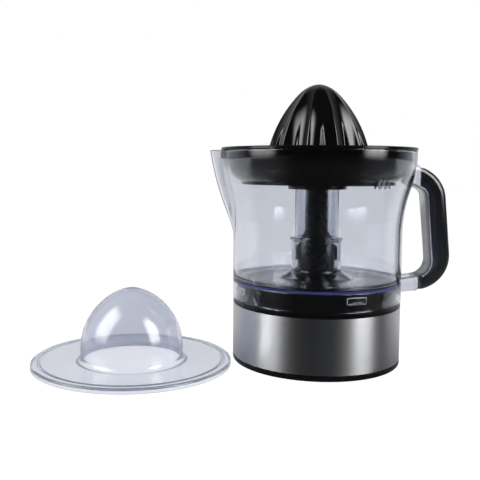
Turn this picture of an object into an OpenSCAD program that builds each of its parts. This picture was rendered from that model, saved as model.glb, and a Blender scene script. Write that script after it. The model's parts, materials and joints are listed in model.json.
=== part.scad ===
// Citrus press juicer: a ribbed reamer on a geared motor base, with a clear jug,
// a black strainer and a clear dome lid that lies beside it.
// Millimetres. +Z is up and the origin is on the drive axis at table level.
// The handle points along +X and the spout along -X.

/* [Base] */
// Radius of the steel band
base_r = 70; // [66:0.5:84]
// Height of the underside above the table
foot_h = 1.5; // [1.2:0.1:3]
// Height of the black bottom ring
ring_h = 5; // [4:0.5:8]
// Height of the steel band
band_h = 43.5; // [42:0.5:60]
// Thickness of the steel band
band_t = 0.6; // [0.4:0.1:1]
// Height of the black shoulder above the band
shoulder_h = 4; // [3:0.5:6]
// Height of the housing above the shoulder
collar_h = 14.2; // [13:0.2:20]
// Wall of the moulded housing
shell_t = 2.4; // [2:0.1:3]
// Depth of the deck below the housing's rim
deck_drop = 5; // [3:0.5:7]

/* [Jug] */
// Wall of the jug
jug_t = 2.5; // [2:0.1:3]
// Height from the underside of the floor to the rim
jug_h = 109.5; // [100:0.5:140]
// Radius of the jug at its rim
rim_r = 80.8; // [78:0.2:100]
// Height above the floor's underside where the wall starts to flare
flare_start = 39.5; // [30:0.5:50]
// Height above the floor's underside where the flare turns outwards to inwards
flare_turn = 79.5; // [70:0.5:85]
// Height above the floor's underside where the wall is upright again
flare_end = 106.5; // [98:0.5:108]
// Radius of the crease where the floor starts to rise to the post
floor_crease_r = 32; // [28:0.5:45]
// How far the lower post stands clear outside the seal ring
post_gap = 1; // [0.6:0.1:2]
// Wall of the post
post_t = 2.2; // [1.6:0.1:2.6]
// How far the tip of the spout reaches past the rim
spout_reach = 9.7; // [7:0.1:14]
// Radius of the spout's tip
spout_tip_r = 7; // [5:0.5:10]
// Angle of each side of the spout from the spout's middle plane
spout_side_deg = 52; // [45:1:58]
// Radius of the arc that the spout's edge follows
spout_arc_r = 237; // [180:1:300]
// Number of bayonet lugs
lugs = 4; // [3:1:4]
// Width of a bayonet lug
lug_w = 15.8; // [10:0.2:18]

/* [Handle] */
// Width of the handle
handle_w = 24; // [20:0.5:28]
// Reach of the handle past the jug's lower wall
handle_reach = 44; // [40:0.5:56]
// Depth of the hand grip, from the palm side
grip_depth = 13.5; // [10:0.5:16]
// Wall of the handle's channel
channel_t = 2.2; // [1.8:0.1:3]

/* [Strainer] */
// Wall of the strainer
strainer_t = 1.8; // [1.4:0.1:2.4]
// Thickness of the strainer's flange
flange_t = 2; // [1.4:0.1:3]
// Radius of the bowl's round corner
bowl_corner_r = 20; // [14:1:24]
// Depth of the bowl below its flange
bowl_h = 27.3; // [24:0.1:34]
// Number of juice slots
juice_slots = 40; // [24:1:48]
// Width of a juice slot
slot_w = 1.6; // [1:0.1:2]

/* [Reamer] */
// Radius of the reamer at its foot
reamer_r = 44.5; // [40:0.5:48]
// Height of the reamer
reamer_h = 73; // [68:0.5:90]
// Number of main ribs
ribs = 11; // [8:1:12]
// Depth of a flute below the ribs
flute_depth = 4.5; // [3.5:0.1:6]
// Wall of the reamer under the flutes
reamer_t = 2; // [1.6:0.1:3]

/* [Lid] */
// Height of the lid
lid_h = 63.6; // [62:0.2:80]
// Radius of the dome
dome_r = 42.5; // [42:0.5:50]
// Wall of the lid
lid_t = 2; // [1.6:0.1:3]
// Gap along X between the lid's edge and the base
lid_apart = 3.8; // [3:0.1:40]
// Where the lid lies beside the base, along Y
lid_y = -12.8; // [-30:0.2:30]

/* [Drive] */
// Gear module
gear_mod = 0.8; // [0.8:0.05:0.85]
// Teeth of the motor pinion
motor_teeth = 10; // [10:1:12]
// Teeth of the two gear pinions
pinion_teeth = 12; // [12:1:13]
// Teeth of the first gear
first_teeth = 36; // [34:1:38]
// Teeth of the second gear
second_teeth = 36; // [34:1:37]
// Teeth of the output gear
output_teeth = 40; // [38:1:42]
// Radius of the steel spindle
spindle_r = 4; // [3.5:0.1:4.2]
// Width across the flats of the spindle's lower end
spindle_flats = 7; // [6:0.1:7]
// Travel of the spindle when the reamer is pressed
press_travel = 3; // [2:0.1:3.4]
// Radius of the gear axles
axle_r = 1.5; // [1.3:0.1:1.8]
// Running clearance of a shaft in its bearing, on the radius
run_gap = 0.05; // [0.02:0.01:0.1]
// Gap between pieces that move apart
part_gap = 0.3; // [0.2:0.05:0.5]

/* [Motor] */
// Thickness of the laminated core
core_h = 14; // [12:0.5:16]
// Radius of the rotor
rotor_r = 11.3; // [9:0.1:11.5]
// Air gap between rotor and core
air_gap = 0.6; // [0.4:0.1:0.8]

/* [Hidden] */
$fn = 96;
eps = 0.01;

// --- heights of the base, from the table up ---
ring_z = foot_h + ring_h;
band_top_z = ring_z + band_h;
shoulder_z = band_top_z + shoulder_h;
rim_z = shoulder_z + collar_h;
deck_z = rim_z - deck_drop;
deck_t = 2.6;
under_deck_z = deck_z - deck_t;
floor_plate_t = 2.5;
cover_z = foot_h + floor_plate_t;
wall_r = base_r - band_t;
wall_in_r = wall_r - shell_t;
skirt_gap = 1.5;
collar_r = base_r + 0.3 - jug_t - skirt_gap;
collar_in_r = collar_r - shell_t;

// --- the jug stands on the housing's rim ---
jug_r = base_r + 0.3;
jug_in_r = jug_r - jug_t;
jug_floor_z = rim_z + part_gap;
jug_floor_t = 2.5;
jug_rim_z = jug_floor_z + jug_h;
jug_skirt_z = shoulder_z + part_gap;
lug_h = 5;
lug_z = jug_floor_z - 8;
lug_in_r = collar_r - 1.1;
lug_deg = -71;
lock_deg = 16;

// --- the tower in the middle of the deck ---
boss_r = 16.2;
boss_z = rim_z + 3;
seal_r = 17.7;
seal_h = 7.3;
seal_z = boss_z + seal_h;
tower_r = 9.8;
tower_foot_r = 15.6;
tower_wing_r = 17.5;
tower_wing_z = seal_z + 8.5;
tower_neck_z = tower_wing_z + 14;
tower_cone_z = tower_neck_z + 11;
post_in_r = seal_r + post_gap;
post_r = post_in_r + post_t;
post_step_z = tower_neck_z + 2;
post_top_in_r = 16.3;
post_top_r = post_top_in_r + 2;
post_flange_r = post_r + 1.1;
post_rise = 6;

// --- strainer, reamer and their seats ---
flange_z = jug_rim_z + part_gap;
flange_r = rim_r + 0.4;
lid_x = -(base_r + flange_r + lid_apart);
bowl_z = flange_z - bowl_h;
bowl_r = rim_r - jug_t - 1.3;
post_top_z = bowl_z - part_gap;
tower_top_z = post_top_z - 0.7;
collar_hole_r = 12;
strainer_collar_h = 13;
hub_z = tower_top_z + press_travel + 0.5;
hub_flats = 13;
hub_top_z = hub_z + 34.5;
socket_gap = 0.15;
reamer_hub_r = 10.5;
reamer_hub_z = hub_z + 4.5;
reamer_z = bowl_z + strainer_t + press_travel + 4.4;
reamer_tip_z = reamer_z + reamer_h;
// turn of the first rib about the reamer's axis
rib_turn = -109.3;

// --- gearbox between two plates under the deck ---
gearbox_boss_h = 1.6;
plate_cover_t = 1.6;
plate_cover_z = under_deck_z - gearbox_boss_h - plate_cover_t;
plate_space = 20;
plate_z = plate_cover_z - plate_space;
plate_t = 2;
plate_under_z = plate_z - plate_t;
plate_r = collar_in_r - 1.5;
plate_edge_x = 18;
pillar_r = 4;
pillars = [[6, -34], [6, 34], [-54, -10], [-44, 37]];
gear_play = 0.5;
second_deg = 150;
second_gap = gear_mod * (output_teeth + pinion_teeth) / 2;
second_at = second_gap * [cos(second_deg), sin(second_deg)];
first_gap = gear_mod * (second_teeth + pinion_teeth) / 2;
second_hub_r = first_gap - gear_mod * (first_teeth / 2 + 0.8) - 0.4;
first_deg = 176;
first_at = second_at + first_gap * [cos(first_deg), sin(first_deg)];
motor_gap = gear_mod * (first_teeth + motor_teeth) / 2;
motor_deg = -81;
motor_at = first_at + motor_gap * [cos(motor_deg), sin(motor_deg)];
layer1_z = plate_z + gear_play;
layer2_z = layer1_z + 5.5;
layer3_z = layer2_z + 6;
output_top_z = plate_cover_z - press_travel + 1.4;
hex_top_z = output_top_z + press_travel + 1;

// --- motor under the gearbox ---
core_w = 38;
core_l = 58;
limb_w = 8;
bracket_t = 2.4;
core_z = plate_under_z - 8 - core_h;
bore_r = rotor_r + air_gap;
core_y0 = -core_w / 2 + 1;
coil_h = 25;
screw_r = 1.4;
rotor_shaft_r = 1.6;
motor_posts = [[-14.5, -14.5], [14.5, 14.5]];

// --- press mechanism under the spindle ---
spindle_z = plate_under_z - 4.5;
thrust_t = 3;
thrust_r = 8.9;
thrust_z = spindle_z - part_gap - thrust_t;
guide_r = thrust_r + part_gap;
arm_x = 27;
arm_w = 6;
switch_x = 25;
switch_top_z = thrust_z - press_travel - 0.6;
spring_wire = 1.2;
spring_r = 5.8;
spring_turns = 5;

// --- middle panel of the base cover ---
panel_at = [-12, -20];
panel_size = [52, 40];
panel_depth = 0.3;

// --- fasteners around the base ---
cover_screw_degs = [30, 120, 210, 300];
cover_screw_r = wall_in_r - 3;
foot_r = 7;
foot_ring_r = 54;
grommet_z = ring_z + 9;
grommet_r = 5.2;
cord_r = 3.3;

function polar(r, a) = [r * cos(a), r * sin(a)];

// Points of an arc about c, from angle a0 to a1 in n steps.
function arc(c, r, a0, a1, n) = [for (i = [0:n]) c + polar(r, a0 + (a1 - a0) * i / n)];

// A closed outline with its corners rounded: each corner is [x, y, radius].
function rounded(corners, n = 10) = [
    for (i = [0:len(corners) - 1])
        let (p = corners[i], a = corners[(i + len(corners) - 1) % len(corners)],
            b = corners[(i + 1) % len(corners)],
            c = [p[0], p[1]], u = [a[0], a[1]] - c, v = [b[0], b[1]] - c,
            un = u / norm(u), vn = v / norm(v),
            half = acos(un * vn) / 2, mid = (un + vn) / norm(un + vn),
            centre = c + mid * p[2] / sin(half),
            s = c + un * p[2] / tan(half) - centre, e = c + vn * p[2] / tan(half) - centre,
            a0 = atan2(s[1], s[0]), turn = atan2(s[0] * e[1] - s[1] * e[0], s * e))
        each p[2] > 0 ? arc(centre, p[2], a0, a0 + turn, n) : [c]];

// --- involute gears ---
pressure_deg = 25;
stub = 0.8;
tooth_slack = 0.14;
function involute(a) = tan(a) - a * PI / 180;
function tooth_half_deg(r, teeth) =
    let (rp = gear_mod * teeth / 2, rb = rp * cos(pressure_deg), q = min(1, rb / r))
    (PI / (2 * teeth) - tooth_slack / (2 * rp) + involute(pressure_deg)
        - involute(acos(q))) * 180 / PI;
function gear_points(teeth, turn) =
    let (rp = gear_mod * teeth / 2, ra = rp + stub * gear_mod,
        rf = rp - (stub + 0.25) * gear_mod, rb = max(rf, rp * cos(pressure_deg)))
    [for (i = [0:teeth - 1]) let (mid = turn + i * 360 / teeth)
        each concat([polar(rf, mid - tooth_half_deg(rb, teeth) - 1)],
            [for (k = [0:3]) let (r = rb + (ra - rb) * k / 3)
                polar(r, mid - tooth_half_deg(r, teeth))],
            [for (k = [3:-1:0]) let (r = rb + (ra - rb) * k / 3)
                polar(r, mid + tooth_half_deg(r, teeth))],
            [polar(rf, mid + tooth_half_deg(rb, teeth) + 1)])];

// The angle of a tooth of gear B that puts it in mesh with gear A, seen from A along deg.
function mesh_turn(turn_a, teeth_a, teeth_b, deg) =
    deg + 180 - (0.5 - (deg - turn_a) * teeth_a / 360) * 360 / teeth_b;
pinion_turn = 0;
output_turn = mesh_turn(pinion_turn, pinion_teeth, output_teeth, second_deg + 180);
second_turn = mesh_turn(pinion_turn, pinion_teeth, second_teeth, first_deg + 180);
first_turn = 0;
motor_turn = mesh_turn(first_turn, first_teeth, motor_teeth, motor_deg);

module gear(teeth, turn, h) {
    linear_extrude(h) polygon(gear_points(teeth, turn));
}

module at(p, z = 0) {
    translate([p[0], p[1], z]) children();
}

module tube(r, r_in, h) {
    difference() {
        cylinder(r = r, h = h);
        translate([0, 0, -eps]) cylinder(r = r_in, h = h + 2 * eps);
    }
}

module hexagon(flats, h) {
    cylinder(r = flats / 2 / cos(30), h = h, $fn = 6);
}

module around(degs) {
    for (a = degs) rotate([0, 0, a]) children();
}

// ---------------------------------------------------------------- base
module base_cover() {
    corner = 2;
    color("#161618") difference() {
        union() {
            rotate_extrude() polygon(concat([[0, foot_h]],
                arc([base_r - corner, foot_h + corner], corner, -90, 0, 5),
                [[base_r, ring_z - part_gap], [base_r - 3, ring_z - part_gap],
                [base_r - 3, cover_z], [0, cover_z]]));
            around(cover_screw_degs) translate([cover_screw_r, 0, cover_z - eps])
                cylinder(r = wall_in_r - cover_screw_r - part_gap, h = 6 + eps);
            at([0, 0], cover_z - eps) tube(guide_r + 2, guide_r, spindle_z - cover_z + 1);
            at([0, 0], cover_z - eps) cylinder(r = spring_r - spring_wire, h = 10);
            translate([switch_x - 7, -5, cover_z - eps]) cube([16, 10, 4 + eps]);
        }
        // slot that the thrust plate's arm moves in
        translate([0, -arm_w / 2 - part_gap, thrust_z - press_travel - 0.5])
            cube([guide_r + 4, arm_w + 2 * part_gap, thrust_t + press_travel + 6]);
        around(cover_screw_degs) translate([cover_screw_r, 0, 0]) {
            cylinder(r = screw_r + 0.2, h = cover_z + 10);
            cylinder(r = 3.2, h = foot_h + 1.8);
        }
        // middle panel, set back a little so that it lies flat between the feet
        translate([panel_at[0], panel_at[1], 0]) linear_extrude(foot_h + panel_depth)
            polygon(rounded([[0, 0, 5], [panel_size[0], 0, 5], [panel_size[0], panel_size[1], 5],
                [0, panel_size[1], 5]]));
        around([45:90:315]) translate([foot_ring_r, 0, 0]) cylinder(r = 3, h = cover_z + 1);
        for (i = [-3:3]) translate([motor_at[0] + 6 * i - 1.2, -34, 0])
            cube([2.4, 34, cover_z + 1]);
        for (x = [switch_x - 4.5, switch_x + 6.5]) translate([x, 0, 0])
            cylinder(r = screw_r + 0.1, h = cover_z + 5);
    }
}

module rubber_feet() {
    color("#2a2a2c") around([45:90:315]) translate([foot_ring_r, 0, 0]) {
        cylinder(r1 = foot_r - 0.5, r2 = foot_r, h = foot_h);
        cylinder(r = 2.8, h = cover_z + 0.2);
        translate([0, 0, cover_z + 0.05]) cylinder(r1 = 3.8, r2 = 2.6, h = 1.6);
    }
}

module base_screws() {
    color("silver") around(cover_screw_degs) translate([cover_screw_r, 0, 0]) difference() {
        union() {
            translate([0, 0, foot_h + 0.3]) cylinder(r = 2.8, h = 1.5);
            translate([0, 0, foot_h + 1]) cylinder(r = screw_r, h = 18);
        }
        translate([0, 0, foot_h]) for (a = [0, 90]) rotate([0, 0, a])
            translate([-2, -0.35, 0]) cube([4, 0.7, 1.2]);
    }
}

module steel_band() {
    color("#c4c6c8") difference() {
        at([0, 0], ring_z) tube(base_r, base_r - band_t, band_h);
        translate([0, base_r, grommet_z]) rotate([90, 0, 0])
            cylinder(r = grommet_r - 1.1, h = 12, center = true);
    }
}

// J-shaped bayonet slot: a way down from the rim, and a pocket that the lug turns into.
module bayonet_slot() {
    depth_r = collar_r - 1.4;
    side = 0.6;
    half = asin((lug_w / 2 + side) / collar_r);
    module sector(a0, a1, h, depth) {
        translate([0, 0, lug_z - side]) rotate([0, 0, a0]) rotate_extrude(angle = a1 - a0)
            translate([depth, 0]) square([5, h]);
    }
    sector(-half, half, rim_z - lug_z + 2, depth_r);
    sector(half - 1, half + lock_deg, lug_h + 2 * side, depth_r - 0.2);
}

module motor_housing() {
    groove = 0.8;
    boss_in_r = 12.2;
    color("#0f0f11") difference() {
        union() {
            rotate_extrude() polygon([
                [wall_in_r, ring_z + 0.5], [wall_r - 0.15, ring_z + 0.5], [wall_r - 0.15, band_top_z],
                [base_r, band_top_z], [base_r, band_top_z + 1.4], [base_r - groove, band_top_z + 1.7],
                [base_r - groove, band_top_z + 2.2], [base_r, band_top_z + 2.5],
                [base_r, shoulder_z - 0.4], [base_r - 0.4, shoulder_z],
                [collar_r, shoulder_z], [collar_r, rim_z - 0.8], [collar_r - 0.8, rim_z],
                [collar_in_r, rim_z], [collar_in_r - 2, deck_z + 1], [collar_in_r - 3.5, deck_z],
                [boss_r + 1.5, deck_z], [boss_r, deck_z + 1.5], [boss_r, boss_z],
                [boss_in_r, boss_z], [boss_in_r, under_deck_z],
                [collar_in_r, under_deck_z], [collar_in_r, shoulder_z - 2.5],
                [wall_in_r, band_top_z - 1]]);
            for (p = pillars) at(p, under_deck_z - gearbox_boss_h) cylinder(r = pillar_r, h = gearbox_boss_h + eps);
            // pillars for the base cover's screws
            around(cover_screw_degs) translate([cover_screw_r, 0, cover_z + 6.3])
                cylinder(r = 3.4, h = plate_under_z - cover_z - 8);
        }
        around(cover_screw_degs) translate([cover_screw_r, 0, 0])
            cylinder(r = screw_r, h = foot_h + 19.5);
        for (p = pillars) at(p, 0) cylinder(r = screw_r, h = under_deck_z + 1.4);
        around([for (i = [0:lugs - 1]) lug_deg + i * 360 / lugs]) bayonet_slot();
        translate([0, base_r, grommet_z]) rotate([90, 0, 0])
            cylinder(r = grommet_r - 1.1, h = 16, center = true);
    }
}

module cord_grommet() {
    neck_r = grommet_r - 1.2;
    color("#1c1c1e") translate([0, base_r, grommet_z]) rotate([90, 0, 0]) difference() {
        union() {
            translate([0, 0, 0.1]) cylinder(r = neck_r, h = shell_t + band_t + 0.4);
            translate([0, 0, -2]) cylinder(r1 = grommet_r - 0.6, r2 = grommet_r, h = 1.8);
            translate([0, 0, -0.3]) cylinder(r = neck_r, h = 1);
            translate([0, 0, shell_t + band_t + 0.4]) cylinder(r = grommet_r, h = 1.6);
        }
        translate([0, 0, -4]) cylinder(r = cord_r, h = 12);
    }
}

// ---------------------------------------------------------------- gearbox
module d_plate(t) {
    intersection() {
        cylinder(r = plate_r, h = t);
        translate([-plate_r, -plate_r, 0]) cube([plate_r + plate_edge_x, 2 * plate_r, t]);
    }
}

module gearbox_frame() {
    color("#d8d4c6") difference() {
        union() {
            at([0, 0], plate_under_z) d_plate(plate_t);
            for (p = pillars) at(p, plate_z - eps) cylinder(r = pillar_r, h = plate_space - 0.05);
            for (p = motor_posts) at(motor_at + p, core_z + core_h + 3.4 + bracket_t)
                cylinder(r = 3.4, h = plate_under_z - core_z - core_h - 3.4 - bracket_t + eps);
        }
        for (p = pillars) at(p, plate_under_z - 1) cylinder(r = screw_r + 0.15, h = plate_space + 5);
        for (p = motor_posts) at(motor_at + p, core_z) cylinder(r = screw_r, h = plate_z - core_z - 0.8);
        at([0, 0], plate_under_z - 1) cylinder(r = spindle_r + 0.6, h = plate_t + 2);
        at(motor_at, plate_under_z - 1) cylinder(r = rotor_shaft_r + 1.6, h = plate_t + 2);
        for (p = [first_at, second_at]) at(p, plate_under_z - 1) cylinder(r = axle_r + 0.02, h = plate_t + 2);
    }
}

module gearbox_cover() {
    color("#d8d4c6") difference() {
        at([0, 0], plate_cover_z) d_plate(plate_cover_t - 0.05);
        for (p = pillars) at(p, plate_cover_z - 1) cylinder(r = screw_r + 0.15, h = 5);
        at([0, 0], plate_cover_z - 1) cylinder(r = 8, h = 5);
        for (p = [first_at, second_at]) at(p, plate_cover_z - 1) cylinder(r = axle_r + 0.02, h = 5);
    }
}

module gearbox_screws() {
    color("silver") for (p = pillars) at(p) {
        at([0, 0], plate_under_z - 2) cylinder(r = 2.8, h = 1.95);
        at([0, 0], plate_under_z - 1) cylinder(r = screw_r - 0.05, h = under_deck_z - plate_under_z + 2);
    }
}

module gear_axles() {
    color("silver") for (p = [first_at, second_at])
        at(p, plate_under_z + 0.1) cylinder(r = axle_r, h = plate_space + plate_t + plate_cover_t - 0.3);
}

module motor_pinion() {
    color("#b89a52") at(motor_at, layer1_z) difference() {
        gear(motor_teeth, motor_turn, 5);
        translate([0, 0, -1]) cylinder(r = rotor_shaft_r + 0.02, h = 8);
    }
}

module first_gear() {
    color("#e6e2d6") at(first_at, layer1_z) difference() {
        union() {
            gear(first_teeth, first_turn, 4.2);
            gear(pinion_teeth, pinion_turn, 10.6);
            cylinder(r = 3, h = plate_space - 2 * gear_play);
        }
        difference() {
            translate([0, 0, 2.6]) cylinder(r = gear_mod * first_teeth / 2 - 2.6, h = 2);
            translate([0, 0, 2]) cylinder(r = gear_mod * pinion_teeth / 2 + 1.4, h = 3);
        }
        translate([0, 0, -1]) cylinder(r = axle_r + run_gap, h = plate_space + 2);
    }
}

module second_gear() {
    color("#e6e2d6") at(second_at, layer1_z) difference() {
        union() {
            cylinder(r = second_hub_r, h = layer2_z - layer1_z + eps);
            translate([0, 0, layer2_z - layer1_z]) gear(second_teeth, second_turn, 4.4);
            translate([0, 0, layer2_z - layer1_z]) gear(pinion_teeth, pinion_turn, plate_cover_z - layer2_z - 1.3);
            cylinder(r = 3, h = plate_space - 2 * gear_play);
        }
        translate([0, 0, -1]) cylinder(r = axle_r + run_gap, h = plate_space + 2);
    }
}

module output_gear() {
    color("#e6e2d6") difference() {
        union() {
            at([0, 0], layer3_z) gear(output_teeth, output_turn, output_top_z - layer3_z);
            at([0, 0], layer1_z) cylinder(r = 5.3, h = layer3_z - layer1_z + eps);
        }
        at([0, 0], layer1_z - 1) hexagon(spindle_flats + 2 * run_gap, plate_space + 2);
    }
}

// ---------------------------------------------------------------- motor
// Outline of the C-shaped core: the rotor's bore at one end and the coil's limb at the other.
module core_plan() {
    difference() {
        translate([-core_w / 2, core_y0]) polygon(rounded([[0, 0, 5], [core_w, 0, 5],
            [core_w, core_l, 5], [0, core_l, 5]], 4));
        circle(r = bore_r);
        translate([-core_w / 2 + limb_w, core_w / 2 - 0.5])
            square([core_w - 2 * limb_w, core_l + core_y0 - core_w / 2 - limb_w + 0.5]);
        for (s = [0, 180]) rotate(s + 38) translate([bore_r, 0]) circle(r = 1.6);
    }
}

module core_laminations() {
    sheet_step = 1;
    color("#8b8d90") at(motor_at, core_z) difference() {
        linear_extrude(core_h) core_plan();
        for (p = motor_posts) at(p, -1) cylinder(r = screw_r + 0.2, h = core_h + 2);
        // grooves between bundles of sheets
        for (i = [1:core_h / sheet_step / 2 - 1]) translate([-core_w / 2 - 1, core_y0 - 1, 2 * i * sheet_step])
            cube([1.2, core_l + 2, 0.15]);
    }
}

bobbin_y = core_l + core_y0 - limb_w / 2;
bobbin_half = (core_w - 2 * limb_w) / 2 - 0.3;
module bobbin_ring(y_half, z_half, x0, x1) {
    translate([x0, bobbin_y - y_half, core_z + core_h / 2 - z_half])
        cube([x1 - x0, 2 * y_half, 2 * z_half]);
}

module coil_bobbin() {
    slip = 0.15;
    color("#3b3f3a") at(motor_at) difference() {
        union() {
            bobbin_ring(limb_w / 2 + 1.2, core_h / 2 + 1.2, -bobbin_half, bobbin_half);
            for (x = [-bobbin_half, bobbin_half - 1])
                bobbin_ring(limb_w / 2 + 5, coil_h / 2, x, x + 1);
        }
        bobbin_ring(limb_w / 2 + slip, core_h / 2 + slip, -core_w, core_w);
    }
}

module motor_coil() {
    layer = 0.8;
    color("#b4622d") at(motor_at) difference() {
        for (i = [0:4]) let (turn_w = (2 * bobbin_half - 2.3) / 5, x = -bobbin_half + 1.15 + i * turn_w)
            intersection() {
                bobbin_ring(limb_w / 2 + 4.4, coil_h / 2 - 0.6, x, x + turn_w);
                translate([x + turn_w / 2, bobbin_y, core_z + core_h / 2]) rotate([0, 90, 0])
                    cylinder(r = (coil_h / 2 - 0.6) * 1.12, h = turn_w + layer, center = true);
            }
        bobbin_ring(limb_w / 2 + 1.3, core_h / 2 + 1.3, -core_w, core_w);
    }
}

module shading_rings() {
    color("#c07a3e") at(motor_at, core_z - 0.8) for (s = [0, 180]) rotate([0, 0, s + 38])
        translate([bore_r + 0.2, 0, 0]) difference() {
            cylinder(r = 1.3, h = core_h + 1.6);
            translate([-4.2, -3, -1]) cube([4, 6, core_h + 4]);
        }
}

module bracket_bar(z, bush_r) {
    difference() {
        union() {
            rotate([0, 0, 45]) translate([-24, -4.5, z]) cube([48, 9, bracket_t]);
            translate([0, 0, z]) cylinder(r = 7.5, h = bracket_t);
        }
        translate([0, 0, z - 1]) cylinder(r = bush_r, h = bracket_t + 2);
        for (p = motor_posts) at(p, z - 1) cylinder(r = screw_r + 0.2, h = bracket_t + 2);
    }
}

module motor_brackets() {
    spacer_h = 3.2;
    color("#b9bcc0") at(motor_at) {
        bracket_bar(core_z + core_h + 3.3, 3.02);
        bracket_bar(core_z - 3.3 - bracket_t, 3.02);
        for (p = motor_posts, z = [core_z + core_h + 0.05, core_z - 0.05 - spacer_h])
            at(p, z) tube(3.2, screw_r + 0.2, spacer_h);
    }
}

module rotor_bushes() {
    color("#a8874a") at(motor_at)
        for (z = [core_z + core_h + 3.3, core_z - 3.3 - bracket_t])
            at([0, 0], z - 0.3) tube(3, rotor_shaft_r + run_gap, bracket_t + 0.6);
}

module motor_screws() {
    head_z = core_z - 3.3 - bracket_t - 1.9;
    color("silver") for (p = motor_posts) at(motor_at + p) {
        at([0, 0], head_z) cylinder(r = 2.7, h = 1.85);
        at([0, 0], head_z + 1) cylinder(r = screw_r - 0.05, h = plate_z - head_z - 3);
    }
}

module rotor() {
    cage = 1.2;
    shaft_z = core_z - 3.3 - bracket_t - 1;
    color("#9a9ca0") at(motor_at) {
        at([0, 0], core_z - 0.5) cylinder(r = rotor_r - cage, h = core_h + 1);
        at([0, 0], core_z + 0.5) cylinder(r = rotor_r, h = core_h - 1);
        at([0, 0], core_z - 2.4) cylinder(r = rotor_shaft_r + 1.4, h = core_h + 4.8);
        at([0, 0], shaft_z) cylinder(r = rotor_shaft_r, h = layer1_z + 5.4 - shaft_z);
    }
}

// ---------------------------------------------------------------- spindle and press
module spindle() {
    clip_z = under_deck_z - 1.3;
    color("#c9ccd0") difference() {
        union() {
            at([0, 0], spindle_z) hexagon(spindle_flats, hex_top_z - spindle_z);
            at([0, 0], hex_top_z - 0.5) cylinder(r = spindle_r, h = hub_top_z - 3 - hex_top_z);
            at([0, 0], spindle_z) cylinder(r1 = spindle_r - 1.5, r2 = spindle_r - 0.6, h = 1);
        }
        at([0, 0], clip_z) tube(spindle_r + 1, spindle_r - 0.6, 1.1);
    }
}

module spindle_clip() {
    clip_z = under_deck_z - 1.3;
    color("#50535a") at([0, 0], clip_z + 0.05) difference() {
        cylinder(r = spindle_r + 2.4, h = 1);
        translate([0, 0, -1]) cylinder(r = spindle_r - 0.55, h = 3);
        translate([0, -1.8, -1]) cube([10, 3.6, 3]);
    }
}

module drive_hub() {
    color("#18181a") difference() {
        at([0, 0], hub_z) hexagon(hub_flats, hub_top_z - hub_z);
        at([0, 0], hub_z - 1) cylinder(r = spindle_r + 0.02, h = hub_top_z - hub_z - 2.4);
    }
}

module tower() {
    plug_r = 12;
    bush_in_r = 6.02;
    wing_w = 9;
    color("#131315") difference() {
        union() {
            rotate_extrude() polygon([
                [0, under_deck_z + 0.4], [plug_r, under_deck_z + 0.4], [plug_r, seal_z + 0.2],
                [tower_foot_r, seal_z + 0.2], [tower_foot_r, tower_neck_z - 2.4],
                [tower_foot_r - 1.6, tower_neck_z], [tower_foot_r - 1.1, tower_neck_z + 1.4],
                [tower_r, tower_cone_z - 1.4], [tower_r, tower_top_z - 1], [tower_r - 1, tower_top_z],
                [0, tower_top_z]]);
            // wings that guide the jug's post
            intersection() {
                union() {
                    at([0, 0], tower_wing_z) cylinder(r = tower_wing_r, h = 11.5);
                    at([0, 0], tower_wing_z + 11.5 - eps)
                        cylinder(r1 = tower_wing_r, r2 = tower_foot_r - 1, h = 2.4);
                }
                around([0, 90]) translate([-20, -wing_w / 2, 0]) cube([40, wing_w, 200]);
            }
        }
        at([0, 0], under_deck_z - 1) cylinder(r = bush_in_r, h = tower_top_z - under_deck_z + 4);
    }
}

module tower_seal() {
    bead = seal_h / 2;
    color("#0b0b0c") rotate_extrude() polygon(concat([[12.1, boss_z + 0.05]],
        arc([seal_r - bead, boss_z + bead], bead - 0.05, -90, 90, 12), [[12.1, seal_z - 0.05]]));
}

module tower_bushes() {
    bush_h = 9;
    color("#a8874a") for (z = [under_deck_z + 0.4, tower_top_z - bush_h - 1])
        at([0, 0], z) tube(6, spindle_r + run_gap, bush_h);
}

module thrust_plate() {
    color("#e8e4da") difference() {
        union() {
            at([0, 0], thrust_z) cylinder(r = thrust_r, h = thrust_t);
            translate([0, -arm_w / 2, thrust_z]) cube([arm_x, arm_w, thrust_t]);
            translate([arm_x, 0, thrust_z]) cylinder(r = arm_w / 2, h = thrust_t);
        }
        at([0, 0], thrust_z - eps) tube(spring_r + spring_wire, spring_r - spring_wire, 0.8);
    }
}

// Wire of the return spring: an eight-sided section swept along a helix.
module return_spring() {
    steps = 20;
    sides = 8;
    wire = spring_wire / 2;
    z0 = cover_z + wire + 0.05;
    z1 = thrust_z + 0.7 - wire;
    rings = spring_turns * steps;
    dead = 0.75;
    // the first and last coils lie flat, the rest climb
    function climb(t) = let (a = dead / spring_turns)
        t < a ? t * spring_wire * 0.9 * spring_turns
        : t > 1 - a ? z1 - z0 - (1 - t) * spring_wire * 0.9 * spring_turns
        : let (s = a * spring_wire * 0.9 * spring_turns, f = (t - a) / (1 - 2 * a))
            s + f * (z1 - z0 - 2 * s);
    points = [for (i = [0:rings]) let (t = i / rings, a = 360 * spring_turns * t)
        for (j = [0:sides - 1]) let (b = 360 * j / sides, r = spring_r + wire * cos(b))
            [r * cos(a), r * sin(a), z0 + climb(t) + wire * sin(b)]];
    faces = concat([[for (j = [0:sides - 1]) j]],
        [for (i = [0:rings - 1], j = [0:sides - 1]) let (k = (j + 1) % sides)
            [i * sides + k, i * sides + j, (i + 1) * sides + j, (i + 1) * sides + k]],
        [[for (j = [sides - 1:-1:0]) rings * sides + j]]);
    color("silver") polyhedron(points = points, faces = faces);
}

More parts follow.
